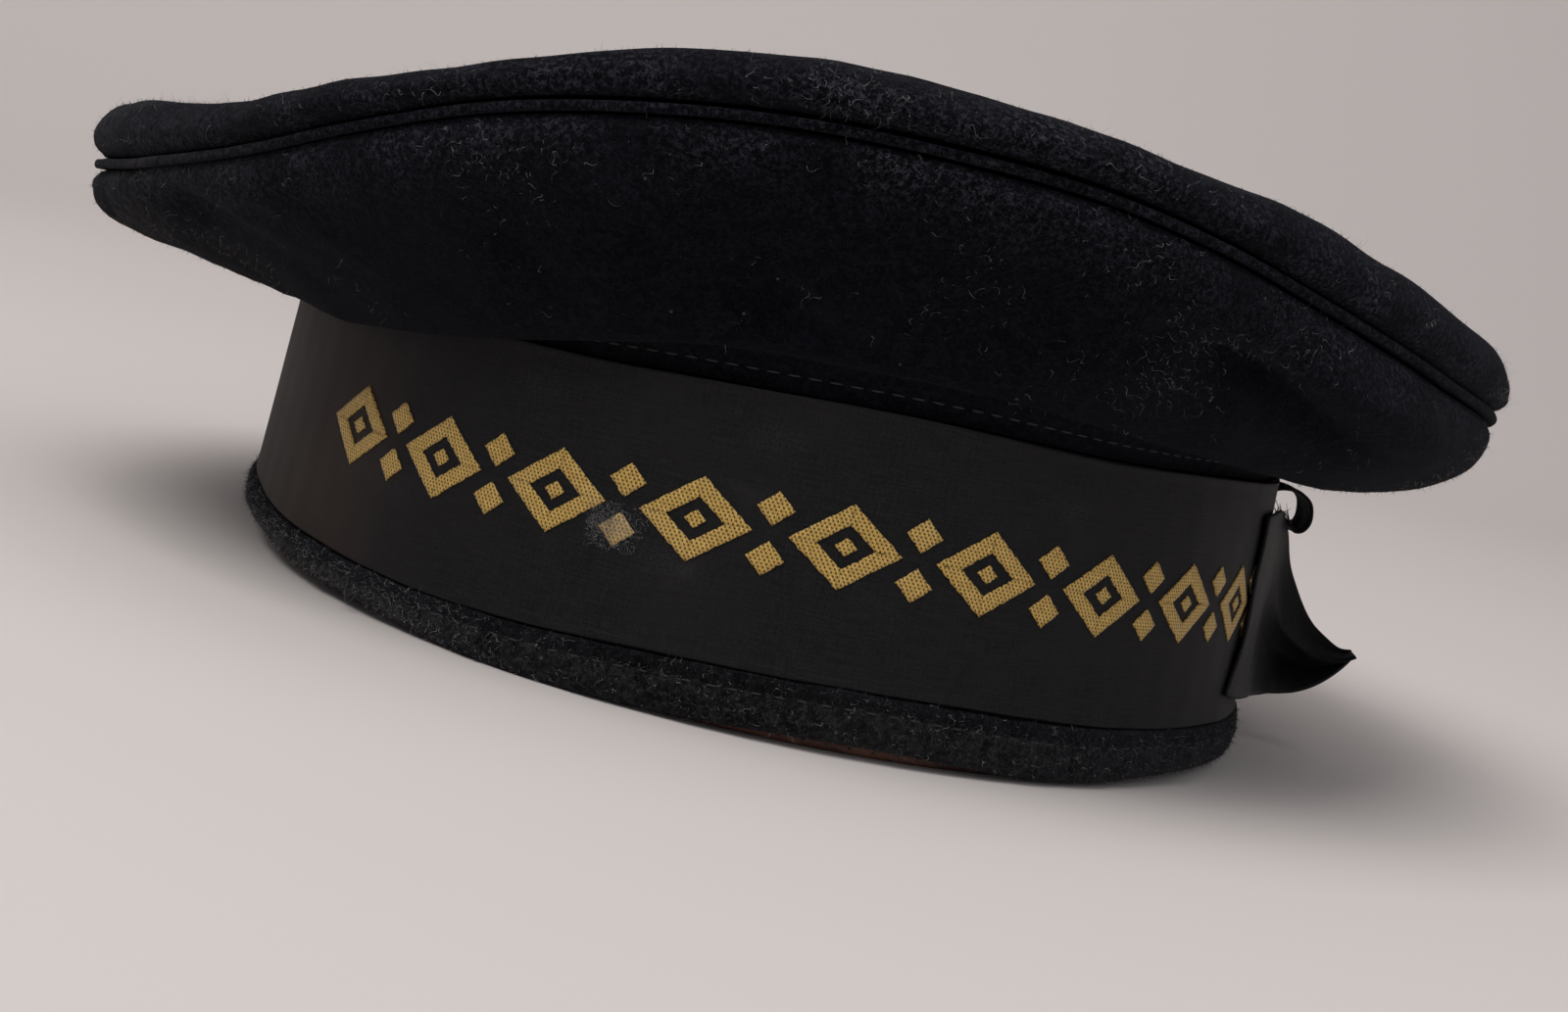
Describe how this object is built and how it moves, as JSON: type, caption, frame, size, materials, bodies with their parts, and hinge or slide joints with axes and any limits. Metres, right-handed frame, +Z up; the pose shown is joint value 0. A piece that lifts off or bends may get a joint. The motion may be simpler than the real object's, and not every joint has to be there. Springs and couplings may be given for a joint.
{
  "type": "sailor cap",
  "caption": "Dark wool sailor's flat cap with a wide soft crown, a stiff band with a silk ribbon and side bow, and a leather sweatband inside.",
  "frame": {"origin": "under the middle of the cap's bounding box, on the plane of the hem it rests on", "axes": "+Z up through the crown, -Y to the front of the cap, +X to the wearer's left, where the bow is"},
  "size_m": [0.238, 0.2378, 0.0922],
  "materials": {
    "wool": "napped melton wool",
    "hem_wool": "worn, fuzzy melton wool",
    "silk": "fine ribbed woven silk with a low sheen",
    "leather": "worn reddish-brown leather"
  },
  "bodies": {
    "root": {"crown_top": "wool", "crown_side": "wool", "crown_welt": "wool", "headband": "hem_wool", "sweatband": "leather", "ribbon": "silk", "bow_knot": "silk", "bow_loop_front": "silk", "bow_loop_back": "silk", "bow_pointed_end": "silk", "bow_curled_end": "silk"}
  },
  "joints": []
}
